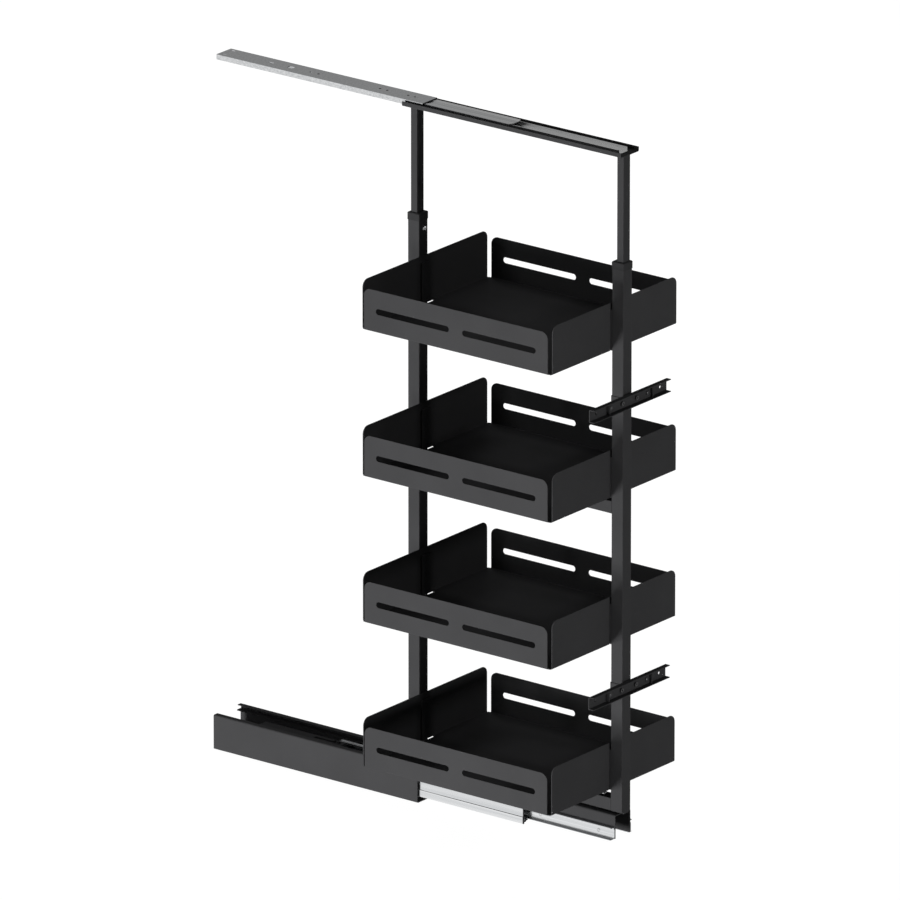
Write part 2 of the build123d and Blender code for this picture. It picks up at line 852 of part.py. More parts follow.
def inner_tube_y(rear):
    """Y of an upper tube, set a little outwards and forwards in its post."""
    outwards = rear_post_y + inner_tube_offset if rear else front_post_y - inner_tube_offset
    return outwards - upper_frame_set_forward


def collar(rear):
    """Plastic collar: a cap over the post, a plug inside it and a bore for the upper tube."""
    y = rear_post_y if rear else front_post_y
    cap = rounded_box(
        collar_size, collar_size, collar_corner, (0, y), collar_bottom_height,
        collar_top_height - collar_bottom_height,
    )
    rim = cap.faces().sort_by(Axis.Z)[-1].edges()
    cap = cap.chamfer(collar_chamfer, None, rim)
    seat = post_size + 2 * collar_fit
    cap = cap - rounded_box(
        seat, seat, post_corner, (0, y), collar_bottom_height - overrun,
        post_top_height - collar_bottom_height + overrun,
    )
    plug = post_size - 2 * post_wall - 2 * collar_fit
    cap = cap + rounded_box(
        plug, plug, collar_plug_corner, (0, y), collar_plug_bottom_height,
        post_top_height - collar_plug_bottom_height,
    )
    bore = rounded_box(
        inner_tube_width + 2 * inner_tube_fit, inner_tube_depth + 2 * inner_tube_fit, inner_tube_corner,
        (0, inner_tube_y(rear)), collar_plug_bottom_height - overrun,
        collar_top_height - collar_plug_bottom_height + 2 * overrun,
    )
    return cap - bore


def clamp_pieces(rear):
    """Clamp nut set in the post's wall, and the screw that presses on the upper tube."""
    face = rear_post_face if rear else front_post_face
    sign = 1 if rear else -1
    outward = (0, sign, 0)
    tube_face = inner_tube_y(rear) - sign * inner_tube_depth / 2
    height = clamp_screw_height
    flange_start = (0, face - sign * clamp_nut_flange_height, height)
    nut = rod(flange_start, outward, clamp_nut_flange_radius, clamp_nut_flange_height)
    nut = nut + rod((0, face, height), outward, clamp_nut_radius, clamp_nut_depth)
    bore_length = clamp_nut_depth + clamp_nut_flange_height + 2 * overrun
    bore_start = (0, flange_start[1] - sign * overrun, height)
    nut = nut - rod(bore_start, outward, clamp_screw_radius + ball_clearance, bore_length)
    shank_length = abs(tube_face - flange_start[1]) - clamp_screw_tip_gap
    screw = rod(flange_start, outward, clamp_screw_radius, shank_length)
    head_start = (0, flange_start[1] - sign * clamp_screw_head_height, height)
    screw = screw + rod(head_start, outward, clamp_screw_head_radius, clamp_screw_head_height)
    socket_start = (0, head_start[1] - sign * overrun, height)
    return nut, screw - rod(socket_start, outward, socket_radius, socket_depth + overrun)


def inner_tube(rear):
    """Upper tube, from inside its post up to the top rail."""
    bottom = collar_bottom_height - inner_tube_insertion
    return square_tube(
        inner_tube_width, inner_tube_depth, inner_tube_wall, inner_tube_corner,
        (0, inner_tube_y(rear)), bottom, rail_bottom - bottom,
    )


def top_rail():
    """Shallow channel across the upper tubes, with the slide's inner member in it."""
    half = rail_width / 2
    path = [(-half, rail_bottom + rail_wall_height), (-half, rail_bottom)]
    path += [(half, rail_bottom), (half, rail_bottom + rail_wall_height)]
    rail = bent_sheet(path, rail_sheet, rail_bend, "y", rail_front, rail_length)
    return punched_for_rail_rivets(rail)


def rail_rivet_places():
    """Y of the rivets through the rail."""
    return [top_slide_front - travel + distance for distance in rail_rivet_distances]


def punched_for_rail_rivets(sheet):
    """Sheet with the rail's rivet holes."""
    for y in rail_rivet_places():
        start = (0, y, rail_bottom - overrun)
        depth = rail_sheet + top_slide_sheet + 2 * overrun
        sheet = sheet - rod(start, UP, rail_rivet_radius + hole_clearance, depth)
    return sheet


def rail_rivets():
    """Rivets that hold the top slide's inner member on the rail."""
    rivets = []
    grip = rail_sheet + top_slide_sheet
    for y in rail_rivet_places():
        shank = rod((0, y, rail_bottom), UP, rail_rivet_radius, grip)
        head = rod((0, y, rail_bottom + grip), UP, rail_rivet_head_radius, rail_rivet_head_height)
        tail = rod((0, y, rail_bottom), DOWN, rail_rivet_head_radius, rail_rivet_head_height)
        rivets.append(shank + head + tail)
    return rivets


def top_outer_slide():
    """Fixed member under the cabinet's top, with its screw holes, slots and window."""
    points = [top_place(d, h) for d, h in top_section.outer_outline()]
    member = prism(points, softened(points, slide_edge_round), "y", top_slide_front, top_slide_length)
    back = top_slide_front + top_slide_length
    depth = 2 * top_slide_sheet + 2 * overrun
    start = top_plate_height - top_slide_sheet - overrun
    for distance in top_hole_distances:
        member = member - rod((0, back - distance, start), UP, top_hole_radius, depth)
    slot_centre = (0, back - top_slot_distance, top_plate_height)
    member = member - slot_cutter(slot_centre, BACK, UP, top_slot_length, 2 * top_hole_radius, depth)
    for sign in (-1, 1):
        centre = (sign * top_tab_slot_offset, back - top_tab_slot_distance, top_plate_height)
        member = member - slot_cutter(centre, BACK, UP, top_tab_slot_length, top_tab_slot_width, depth)
    window_back = back - top_window_distance + top_window_length / 2
    low = (-top_window_width / 2, window_back - top_window_length, start)
    return member - block(low, (top_window_width / 2, window_back, top_plate_height + overrun))


def basket():
    """Sheet basket, its floor's underside at height zero and its middle over the origin."""
    half_w, half_l = basket_width / 2, basket_length / 2
    edge = basket_bend + basket_sheet
    pieces = [block((edge - half_w, edge - half_l, 0), (half_w - edge, half_l - edge, basket_sheet))]
    for sign in (-1, 1):
        pieces.append(punched_side(sign))
        pieces.append(basket_wall("x", sign, half_l, half_w - basket_end_gap, basket_end_height))
    shell = fuse(pieces)
    for sign in (-1, 1):
        shell = shell - hanger_clearance(sign)
    return shell


def basket_wall(along, sign, face, span, height):
    """Wall that runs along one axis, its foot bent into the floor and its top corners rounded."""
    path = [(face - basket_bend - basket_sheet, 0), (face, 0), (face, height)]
    if sign < 0:
        path = [(-a, b) for a, b in path[::-1]]
    wall = bent_sheet(path, basket_sheet, basket_bend, along, -span, 2 * span)
    profile = [(-span, 0), (span, 0), (span, height), (-span, height)]
    radii = [0, 0, basket_corner_round, basket_corner_round]
    across = "x" if along == "y" else "y"
    return wall & prism(profile, radii, across, -2 * face, 4 * face)


def punched_side(sign):
    """Side wall of a basket with its two long slots."""
    half_w, span = basket_width / 2, basket_length / 2 - basket_side_gap
    wall = basket_wall("y", sign, half_w, span, basket_side_height)
    for slot_sign in (-1, 1):
        y = slot_sign * (side_slot_bridge + side_slot_length) / 2
        centre = (sign * half_w, y, side_slot_height)
        wall = wall - slot_cutter(centre, BACK, RIGHT, side_slot_length, side_slot_width, 4 * basket_sheet)
    return wall


def hanger_clearance(sign):
    """Cutter at one end of a basket: a slot up from the foot of the wall, and a slit in the floor."""
    inside = basket_length / 2 - basket_sheet
    slit_edge = sign * (inside - floor_slit_depth)
    slot_low, slot_high = sorted((slit_edge, sign * (basket_length / 2 + overrun)))
    slit_low, slit_high = sorted((slit_edge, sign * inside))
    slot_half, slit_half = post_half + hanger_slot_clearance, floor_slit_length / 2
    slot = block((-slot_half, slot_low, -overrun), (slot_half, slot_high, hanger_top))
    slit_top = basket_sheet + basket_bend + overrun
    return slot + block((-slit_half, slit_low, -overrun), (slit_half, slit_high, slit_top))


def hanger(rear, floor):
    """Hanger on a post's inner face; the slot in the basket's end wall rests on its channel."""
    sign = 1 if rear else -1
    face = rear_post_face if rear else front_post_face
    low, height = floor + hanger_rise, hanger_top - hanger_rise
    plate_back = basket_centre_y + sign * (basket_length / 2 - basket_sheet - hanger_wall_gap)
    near, far = sign * post_half, -sign * post_half
    path = [(near, plate_back), (near, face), (far, face), (far, plate_back)]
    channel = bent_sheet(path, hanger_sheet, hanger_bend, "z", low, height)
    half, high = hanger_plate_width / 2, low + height
    profile = [(-half, low), (half, low), (half, high), (-half, high)]
    radii = [0, 0, hanger_plate_round, hanger_plate_round]
    start = min(plate_back, plate_back - sign * hanger_plate_sheet)
    return channel + prism(profile, radii, "y", start, hanger_plate_sheet)


def bracket_back():
    """Y of the back face of a door bracket's channel."""
    return front_post_y - post_half - bracket_post_gap


def bracket_channel(height):
    """Door bracket's channel, open to the front, with door holes and slots for its screws."""
    back, low, high = bracket_back(), height - bracket_height / 2, height + bracket_height / 2
    path = [(back - bracket_depth, low), (back, low), (back, high), (back - bracket_depth, high)]
    channel = bent_sheet(path, bracket_sheet, bracket_bend, "x", -bracket_length / 2, bracket_length)
    for side in SIDES.values():
        start = (side * door_hole_pitch / 2, back - bracket_sheet - overrun, height)
        channel = channel - rod(start, BACK, door_hole_radius, bracket_sheet + 2 * overrun)
        centre = (side * bracket_screw_pitch / 2, back, height)
        width, depth = 2 * (bracket_screw_radius + hole_clearance), 4 * bracket_sheet
        channel = channel - slot_cutter(centre, RIGHT, BACK, bracket_screw_slot_length, width, depth)
    return channel


def bracket_strap(height):
    """Strap round the post, with two ears behind the channel."""
    back, half = bracket_back(), post_half + strap_post_gap
    rear = front_post_face + strap_post_gap
    path = [(-strap_ear_reach, back), (-half, back), (-half, rear)]
    path += [(half, rear), (half, back), (strap_ear_reach, back)]
    strap = bent_sheet(path, strap_sheet, strap_bend, "z", height - strap_height / 2, strap_height)
    for side in SIDES.values():
        start = (side * bracket_screw_pitch / 2, back - overrun, height)
        strap = strap - rod(start, BACK, bracket_screw_radius + hole_clearance, strap_sheet + 2 * overrun)
    return strap


def bracket_plate(height):
    """Plate inside the channel, with its ends turned forwards."""
    back, half = bracket_back() - bracket_sheet, plate_length / 2
    tip = back - plate_end_flange - plate_sheet
    path = [(half, tip), (half, back), (-half, back), (-half, tip)]
    plate = bent_sheet(path, plate_sheet, plate_bend, "z", height - plate_height / 2, plate_height)
    holes = ((bracket_screw_pitch, bracket_screw_radius), (lock_screw_pitch, lock_screw_radius))
    for side in SIDES.values():
        for pitch, radius in holes:
            start = (side * pitch / 2, back - plate_sheet - overrun, height)
            plate = plate - rod(start, BACK, radius + hole_clearance, plate_sheet + 2 * overrun)
    return plate


def bracket_screws(height):
    """Clamp screws of a door bracket, with their nuts."""
    pieces = []
    plate_front = bracket_back() - bracket_sheet - plate_sheet
    nut_front = bracket_back() + strap_sheet
    for side in SIDES.values():
        x = side * bracket_screw_pitch / 2
        tip = nut_front + bracket_nut_height + bracket_screw_overrun
        shank = rod((x, plate_front, height), BACK, bracket_screw_radius, tip - plate_front)
        head_start = (x, plate_front - bracket_screw_head_height, height)
        head = rod(head_start, BACK, bracket_screw_head_radius, bracket_screw_head_height)
        socket_start = (x, head_start[1] - overrun, height)
        socket = rod(socket_start, BACK, socket_radius, socket_depth + overrun)
        pieces.append(shank + head - socket)
        nut = hexagon((x, height), bracket_nut_radius, "y", nut_front, bracket_nut_height)
        bore_start = (x, nut_front - overrun, height)
        bore = rod(bore_start, BACK, bracket_screw_radius + ball_clearance, 2 * bracket_nut_height)
        pieces.append(nut - bore)
    return pieces


def lock_screw(x, height):
    """Cross-headed screw through the plate, its tip on the channel."""
    plate_front = bracket_back() - bracket_sheet - plate_sheet
    shank = rod((x, plate_front, height), BACK, lock_screw_radius, plate_sheet)
    head_front = plate_front - lock_screw_head_height
    head = rod((x, head_front, height), BACK, lock_screw_head_radius, lock_screw_head_height)
    screw = shank + head
    long, wide = cross_recess_length / 2, cross_recess_width / 2
    for half_x, half_z in ((long, wide), (wide, long)):
        low = (x - half_x, head_front - overrun, height - half_z)
        screw = screw - block(low, (x + half_x, head_front + cross_recess_depth, height + half_z))
    return screw


def cage_nodes():
    """Cages and balls of the slides, each set where the pulled-out frame leaves it."""
    nodes = {}
    places = {
        "bottom_outer": (bottom_section, bottom_middle_share / 2, True),
        "bottom_inner": (bottom_section, (1 + bottom_middle_share) / 2, True),
        "top_outer": (top_section, top_middle_share / 2, False),
        "top_inner": (top_section, (1 + top_middle_share) / 2, False),
    }
    for name, (section, share, on_wall) in places.items():
        outer = name.endswith("outer")
        d = section.outer_ball_d if outer else section.inner_ball_d
        h = section.outer_ball_h() if outer else section.inner_ball_h()
        rows = bottom_rows(d, h) if on_wall else top_rows(d, h)
        centre_y = -share * travel
        strips = [cage_strip(row, on_wall, centre_y, section.ball) for row in rows]
        nodes[name + "_cages"] = strips
        nodes[name + "_balls"] = ball_set(rows, centre_y, section.ball)
    return nodes


def all_nodes():
    """Every named piece of the pantry frame."""
    bottom_middle_front = -housing_length / 2 - bottom_middle_share * travel
    top_middle_front = top_slide_front - top_middle_share * travel
    cap_front = bottom_middle_front - bottom_middle_cap
    nodes = {"base_housing": base_housing(), "middle_slide_caps": []}
    for name, side in SIDES.items():
        outer, middle = bottom_section.outer_outline(), bottom_section.middle_outline()
        cap = bottom_member(side, middle, cap_front, bottom_middle_cap)
        middle_slide = bottom_member(side, middle, bottom_middle_front, bottom_middle_length)
        nodes[name + "_outer_slide"] = bottom_member(side, outer, -housing_length / 2, housing_length)
        nodes[name + "_middle_slide"] = middle_slide
        nodes[name + "_inner_slide"] = inner_slide(side)
        nodes["middle_slide_caps"].append(cap)
    nodes["damper_bracket"] = damper_bracket()
    nodes["damper_screws"] = damper_screws()
    nodes["damper_case"] = damper_case()
    nodes["damper_cylinder"] = damper_cylinder()
    nodes["damper_spring"] = damper_spring()
    nodes["damper_catch"] = damper_catch()
    nodes["damper_rod"] = damper_rod()
    nodes.update(cage_nodes())
    nodes["carrier"] = carrier()
    nodes["carrier_rivets"] = carrier_rivets()
    nodes["pickup_pin"] = pickup_pin()
    nodes["rear_foot_plate"] = foot_plate(True)
    nodes["front_foot_plate"] = foot_plate(False)
    nodes["foot_bolts"] = foot_bolts()
    nodes["bottom_tube"] = bottom_tube()
    nodes["cross_rail"] = lying_tube(front_post_face, rear_post_face - front_post_face, cross_rail_height)
    nodes["rear_post"] = post(True)
    nodes["front_post"] = post(False)
    nodes["rear_collar"] = collar(True)
    nodes["front_collar"] = collar(False)
    clamps = [clamp_pieces(rear) for rear in (True, False)]
    nodes["clamp_nuts"] = [nut for nut, screw in clamps]
    nodes["clamp_screws"] = [screw for nut, screw in clamps]
    nodes["rear_hangers"] = [hanger(True, floor) for floor in basket_floors]
    nodes["front_hangers"] = [hanger(False, floor) for floor in basket_floors]
    nodes["rear_inner_tube"] = inner_tube(True)
    nodes["front_inner_tube"] = inner_tube(False)
    nodes["top_rail"] = top_rail()
    inner_member = top_member(top_section.inner_outline(), top_slide_front - travel, top_slide_length)
    nodes["top_inner_slide"] = punched_for_rail_rivets(inner_member)
    nodes["rail_rivets"] = rail_rivets()
    nodes["top_middle_slide"] = top_member(top_section.middle_outline(), top_middle_front, top_middle_length)
    nodes["top_outer_slide"] = top_outer_slide()
    shell = basket()
    for index, floor in enumerate(basket_floors):
        nodes[f"basket_{index + 1}"] = shell.moved(Location((0, basket_centre_y, floor)))
    for name, height in (("upper", upper_bracket_height), ("lower", lower_bracket_height)):
        nodes[name + "_bracket_channel"] = bracket_channel(height)
        nodes[name + "_bracket_strap"] = bracket_strap(height)
        nodes[name + "_bracket_plate"] = bracket_plate(height)
        nodes[name + "_bracket_screws"] = bracket_screws(height)
        lock_x = lock_screw_pitch / 2
        nodes[name + "_lock_screws"] = [lock_screw(side * lock_x, height) for side in SIDES.values()]
    return nodes


def main():
    """Write each piece to its own file."""
    os.makedirs("parts", exist_ok=True)
    for name, shape in all_nodes().items():
        whole = Compound(children=shape) if isinstance(shape, list) else shape
        export_step(whole, f"parts/{name}.step")


main()
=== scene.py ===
import json
import logging
import math
from dataclasses import dataclass, field
from enum import Enum

import bmesh
import bpy
from mathutils import Matrix, Vector

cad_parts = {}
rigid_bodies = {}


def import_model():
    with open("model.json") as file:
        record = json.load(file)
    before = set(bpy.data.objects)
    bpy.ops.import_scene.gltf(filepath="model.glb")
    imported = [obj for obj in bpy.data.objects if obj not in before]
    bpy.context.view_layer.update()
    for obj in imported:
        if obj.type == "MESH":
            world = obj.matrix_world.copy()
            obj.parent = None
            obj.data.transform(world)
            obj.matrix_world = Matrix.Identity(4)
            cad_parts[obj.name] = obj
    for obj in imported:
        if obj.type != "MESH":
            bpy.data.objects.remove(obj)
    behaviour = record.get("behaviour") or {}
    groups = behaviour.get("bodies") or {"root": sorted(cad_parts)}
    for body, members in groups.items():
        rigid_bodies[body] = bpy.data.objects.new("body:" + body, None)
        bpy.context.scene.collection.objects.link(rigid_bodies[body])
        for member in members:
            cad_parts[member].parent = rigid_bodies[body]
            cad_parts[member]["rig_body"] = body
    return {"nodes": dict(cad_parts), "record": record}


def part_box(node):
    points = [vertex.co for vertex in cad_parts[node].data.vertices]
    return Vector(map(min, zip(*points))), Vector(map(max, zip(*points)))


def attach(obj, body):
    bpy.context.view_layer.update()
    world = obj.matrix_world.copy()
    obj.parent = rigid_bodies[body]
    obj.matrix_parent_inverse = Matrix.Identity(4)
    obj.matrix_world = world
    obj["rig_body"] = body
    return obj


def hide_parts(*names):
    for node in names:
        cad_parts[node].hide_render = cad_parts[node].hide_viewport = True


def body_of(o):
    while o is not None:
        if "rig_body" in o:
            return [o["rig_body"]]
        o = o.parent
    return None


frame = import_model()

# Looks of a pull-out pantry frame: a black powder-coated frame with four sheet baskets on two posts,
# zinc-plated ball slides at its floor and ceiling, and two door brackets. Lengths are in metres.

LOG = logging.getLogger("pantry_frame")
MM = 0.001
UP, DOWN = Vector((0, 0, 1)), Vector((0, 0, -1))
FRONT, BACK = Vector((0, -1, 0)), Vector((0, 1, 0))
LEFT, RIGHT = Vector((-1, 0, 0)), Vector((1, 0, 0))
ROUND_STEPS = 24
# Corners nearer to each other than this become one.
MERGE = 0.002 * MM
# How far a corner may lie from a ring's radius and height and still count as the ring's.
RING_TOLERANCE = 0.01 * MM
# Edges that turn by more than this stay crisp in the shading.
SHARP_ANGLE = math.radians(35)


def linear(hex_colour: str) -> tuple[float, float, float, float]:
    """Turn an sRGB hex colour into the linear one that Blender's nodes take.

    Args:
        hex_colour: Six hex digits after a hash sign.

    Returns:
        Linear red, green, blue and an alpha of one.
    """
    full, low_end, slope, offset, power = 255, 0.04045, 12.92, 0.055, 2.4
    channels = [int(hex_colour[start:start + 2], 16) / full for start in (1, 3, 5)]
    red, green, blue = (
        channel / slope if channel <= low_end else ((channel + offset) / (1 + offset)) ** power
        for channel in channels
    )
    return red, green, blue, 1.0


def add_node(tree: bpy.types.NodeTree, kind: str, settings: dict, links: dict) -> bpy.types.Node:
    """Add one node, set it up and link its inputs.

    Args:
        tree: Node tree that takes the node.
        kind: Node's class name.
        settings: Property values by name, or socket values by the socket's name or number.
        links: Output sockets by the name or number of the input that they feed.

    Returns:
        The new node.
    """
    node = tree.nodes.new(kind)
    for name, value in settings.items():
        if isinstance(name, str) and hasattr(node, name):
            setattr(node, name, value)
        else:
            node.inputs[name].default_value = value
    for name, socket in links.items():
        tree.links.new(socket, node.inputs[name])
    return node


@dataclass(frozen=True)
class Finish:
    """A surface finish with a fine grain and a slow change of tone over it.

    The end colour, where there is one, goes to the faces that look along the strip's length: those
    whose direction's share along Y is over the cut cosine. It is bare steel's colour, darkened
    further as painted shade.
    """

    name: str
    colour: str
    second_colour: str
    roughness: float
    second_roughness: float
    metallic: float = 0.0
    specular: float = 0.5
    grain_mm: float = 1.0
    grain_depth_mm: float = 0.02
    grain_strength: float = 0.4
    grain_detail: float = 2.0
    cloud_mm: float = 120.0
    cloud_detail: float = 4.0
    cloud_roughness: float = 0.6
    cloud_edges: tuple[float, float] = (0.35, 0.65)
    stretch: tuple[float, float, float] = (1.0, 1.0, 1.0)
    bare_and_shaded_end_colour: str = ""
    cut_cosine: float = 0.9

    def build(self) -> bpy.types.Material:
        """Make the material from its nodes.

        Returns:
            A new material.
        """
        material = bpy.data.materials.new(self.name)
        material.use_nodes = True
        tree = material.node_tree
        shader = tree.nodes["Principled BSDF"]
        place = add_node(tree, "ShaderNodeTexCoord", {}, {})
        drawn = add_node(
            tree, "ShaderNodeMapping", {"Scale": self.stretch}, {"Vector": place.outputs["Object"]},
        )
        cloud_settings = {
            "Scale": 1 / (self.cloud_mm * MM), "Detail": self.cloud_detail,
            "Roughness": self.cloud_roughness,
        }
        cloud = add_node(
            tree, "ShaderNodeTexNoise", cloud_settings, {"Vector": drawn.outputs[0]},
        )
        tone = add_node(tree, "ShaderNodeValToRGB", {}, {0: cloud.outputs["Fac"]})
        ends = zip(tone.color_ramp.elements, self.cloud_edges, (self.colour, self.second_colour))
        for element, position, colour in ends:
            element.position, element.color = position, linear(colour)
        polish = add_node(
            tree, "ShaderNodeMapRange", {3: self.roughness, 4: self.second_roughness},
            {0: cloud.outputs["Fac"]},
        )
        grain_settings = {"Scale": 1 / (self.grain_mm * MM), "Detail": self.grain_detail}
        grain = add_node(
            tree, "ShaderNodeTexNoise", grain_settings, {"Vector": drawn.outputs[0]},
        )
        bump_settings = {"Strength": self.grain_strength, "Distance": self.grain_depth_mm * MM}
        bump = add_node(tree, "ShaderNodeBump", bump_settings, {"Height": grain.outputs["Fac"]})
        colour = tone.outputs["Color"]
        # Faces that look along Y take the end colour: bare steel, darkened further as painted shade.
        if self.bare_and_shaded_end_colour:
            colour = self.darken_ends_bare_and_shaded(tree, place.outputs["Normal"], colour)
        tree.links.new(colour, shader.inputs["Base Color"])
        tree.links.new(polish.outputs[0], shader.inputs["Roughness"])
        tree.links.new(bump.outputs[0], shader.inputs["Normal"])
        shader.inputs["Metallic"].default_value = self.metallic
        shader.inputs["Specular IOR Level"].default_value = self.specular
        return material

    def darken_ends_bare_and_shaded(
        self, tree: bpy.types.NodeTree, normal: bpy.types.NodeSocket,
        colour: bpy.types.NodeSocket,
    ) -> bpy.types.NodeSocket:
        """Give the faces across the strip's length, where it was sheared, the colour of bare steel,
        darkened further as painted shade.

        Args:
            tree: Node tree of the material.
            normal: Socket with the face's direction in object space.
            colour: Socket with the plated faces' colour.

        Returns:
            Socket with the colour of both.
        """
        axes = add_node(tree, "ShaderNodeSeparateXYZ", {}, {0: normal})
        along = add_node(tree, "ShaderNodeMath", {"operation": "ABSOLUTE"}, {0: axes.outputs["Y"]})
        cut = add_node(
            tree, "ShaderNodeMath", {"operation": "GREATER_THAN", 1: self.cut_cosine},
            {0: along.outputs[0]},
        )
        both = add_node(
            tree, "ShaderNodeMix", {"data_type": "RGBA", 7: linear(self.bare_and_shaded_end_colour)},
            {0: cut.outputs[0], 6: colour},
        )
        return both.outputs[2]


# Polyester powder coat on steel: black, dead satin, with the fine orange peel of baked powder. Its
# grain is about 0.6 mm on the real part and is drawn twice as coarse, to show.
POWDER_COAT = Finish(
    "black_powder_coat", "#3e3e3f", "#3b3b3c", roughness=0.66, second_roughness=0.72,
    specular=0.01, grain_mm=1.2, grain_depth_mm=0.03, grain_strength=0.5, cloud_mm=140,
)
# Moulded glass-filled nylon: a touch deeper black than the coat, with a spark-eroded mould's matt.
MOULDED_NYLON = Finish(
    "black_moulded_nylon", "#363637", "#323233", roughness=0.6, second_roughness=0.66,
    specular=0.02, grain_mm=0.7, grain_depth_mm=0.02, grain_strength=0.4, cloud_mm=40,
)
# Cold-rolled steel strip, electro-galvanised: bright, with rolling lines along the slide. Its sheared
# ends are painted darker than the plated faces: bare steel, darkened further as painted shade. The
# lines are finer than a millimetre and are drawn as 6 mm, to show.
ZINC_STRIP = Finish(
    "zinc_plated_strip", "#e4e5e6", "#cfd1d3", roughness=0.2, second_roughness=0.26,
    metallic=1.0, grain_mm=1.4, grain_depth_mm=0.01, grain_strength=0.3, cloud_mm=6,
    stretch=(1.0, 0.01, 1.0), bare_and_shaded_end_colour="#4a4a4b",
)
# The ceiling slide's outer member: greyer than the floor slides' zinc, a painted shade, with a spangle
# that speckles its web. The spangle is a third of a millimetre across and is drawn as 3 mm, to show.
ZINC_STRIP_PAINTED_SHADE = Finish(
    "spangled_zinc_strip_painted_shade", "#d9dadb", "#bcbec0", roughness=0.16, second_roughness=0.22,
    metallic=1.0, grain_mm=1.6, grain_depth_mm=0.012, grain_strength=0.3, cloud_mm=3,
    stretch=(1.0, 0.6, 1.0), bare_and_shaded_end_colour="#3a3a3b",
)
# The ceiling slide's inner member: painted lighter than the other zinc, a painted highlight, so it is
# the brightest of the three.
ZINC_STRIP_PAINTED_HIGHLIGHT = Finish(
    "zinc_strip_painted_highlight", "#f9f9f9", "#eceeef", roughness=0.24, second_roughness=0.3,
    metallic=1.0, grain_mm=1.1, grain_depth_mm=0.006, grain_strength=0.25, cloud_mm=50,
    stretch=(1.0, 0.04, 1.0), bare_and_shaded_end_colour="#4a4a4b",
)
# The ceiling slide's middle member: painted reflections, light and dark streaks that run along the
# travel. They are about a millimetre apart and are drawn as 5 mm, to show.
ZINC_STRIP_PAINTED_REFLECTIONS = Finish(
    "zinc_strip_painted_reflection_streaks", "#ffffff", "#bfc1c3", roughness=0.34, second_roughness=0.2,
    metallic=1.0, grain_mm=1.1, grain_depth_mm=0.006, grain_strength=0.25, cloud_mm=5,
    stretch=(1.0, 0.003, 1.0), bare_and_shaded_end_colour="#4a4a4b",
)
# Zinc-plated and passivated fasteners: clean and bright, with a faint tumbling texture.
BRIGHT_ZINC = Finish(
    "bright_zinc_fastener", "#dcdcdd", "#cfd1d3", roughness=0.22, second_roughness=0.3,
    metallic=1.0, grain_mm=0.8, grain_depth_mm=0.004, grain_strength=0.2, cloud_mm=6,
)
# Steel screws blackened by phosphate and oil: dark grey, a little glossier than the powder coat.
BLACK_PHOSPHATE = Finish(
    "black_phosphate_screw", "#2c2c2d", "#343435", roughness=0.4, second_roughness=0.5,
    metallic=0.3, specular=0.4, grain_mm=0.4, grain_depth_mm=0.004, grain_strength=0.2,
    cloud_mm=5,
)
# Ground and polished bearing steel under a trace of grease.
BEARING_STEEL = Finish(
    "polished_bearing_steel", "#c9cacc", "#c0c1c3", roughness=0.1, second_roughness=0.16,
    metallic=1.0, grain_mm=0.5, grain_depth_mm=0.001, grain_strength=0.1, cloud_mm=3,
)
# Nodes whose finish isn't their slot's: lighter and darker copies of the same zinc on the ceiling
# slide, painted highlight, painted reflections and painted shade.
NODE_FINISHES = {
    "top_outer_slide": ZINC_STRIP_PAINTED_SHADE,
    "top_middle_slide": ZINC_STRIP_PAINTED_REFLECTIONS,
    "top_inner_slide": ZINC_STRIP_PAINTED_HIGHLIGHT,
}
# The finish of each material slot in the record.
FINISHES = {
    "black_powder_coat": POWDER_COAT,
    "black_plastic": MOULDED_NYLON,
    "zinc_steel": ZINC_STRIP,
    "bright_screw": BRIGHT_ZINC,
    "bearing_steel": BEARING_STEEL,
    "black_screw": BLACK_PHOSPHATE,
}


@dataclass
class Workshop:
    """Gives nodes and new pieces their finishes, one material for each."""

    materials: dict[str, bpy.types.Material] = field(default_factory=dict)

    def dress(self, piece: bpy.types.Object, finish: Finish) -> None:
        """Give an object one material in all its slots, made once for each finish.

        Args:
            piece: Object that takes it.
            finish: The finish to give.
        """
        if finish.name not in self.materials:
            self.materials[finish.name] = finish.build()
        piece.data.materials.clear()
        piece.data.materials.append(self.materials[finish.name])

    def dress_nodes(self) -> None:
        """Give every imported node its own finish, or else the one of its slot in the record."""
        for subpart in frame["record"]["subparts"]:
            name, usual = subpart["node"], FINISHES[subpart["material_slot"]]
            self.dress(frame["nodes"][name], NODE_FINISHES.get(name, usual))


class Outline(Enum):
    """Outline that a ring of a turned piece takes in place of a circle."""

    HEXAGON = "hexagon"
    CROSS = "cross"

    def share(self, angle: float) -> float:
        """Radius at an angle, as a share.

        Args:
            angle: Angle round the axis, in radians.

        Returns:
            The radius there over half the hexagon's width across flats, or over the cross's arm.
        """
        if self is Outline.HEXAGON:
            sixth = math.tau / 6
            return 1 / math.cos(angle % sixth - sixth / 2)
        quarter, half_width = math.tau / 4, 0.2
        off_arm = abs((angle + quarter / 2) % quarter - quarter / 2)
        return min(1.0, half_width / max(math.sin(off_arm), half_width))


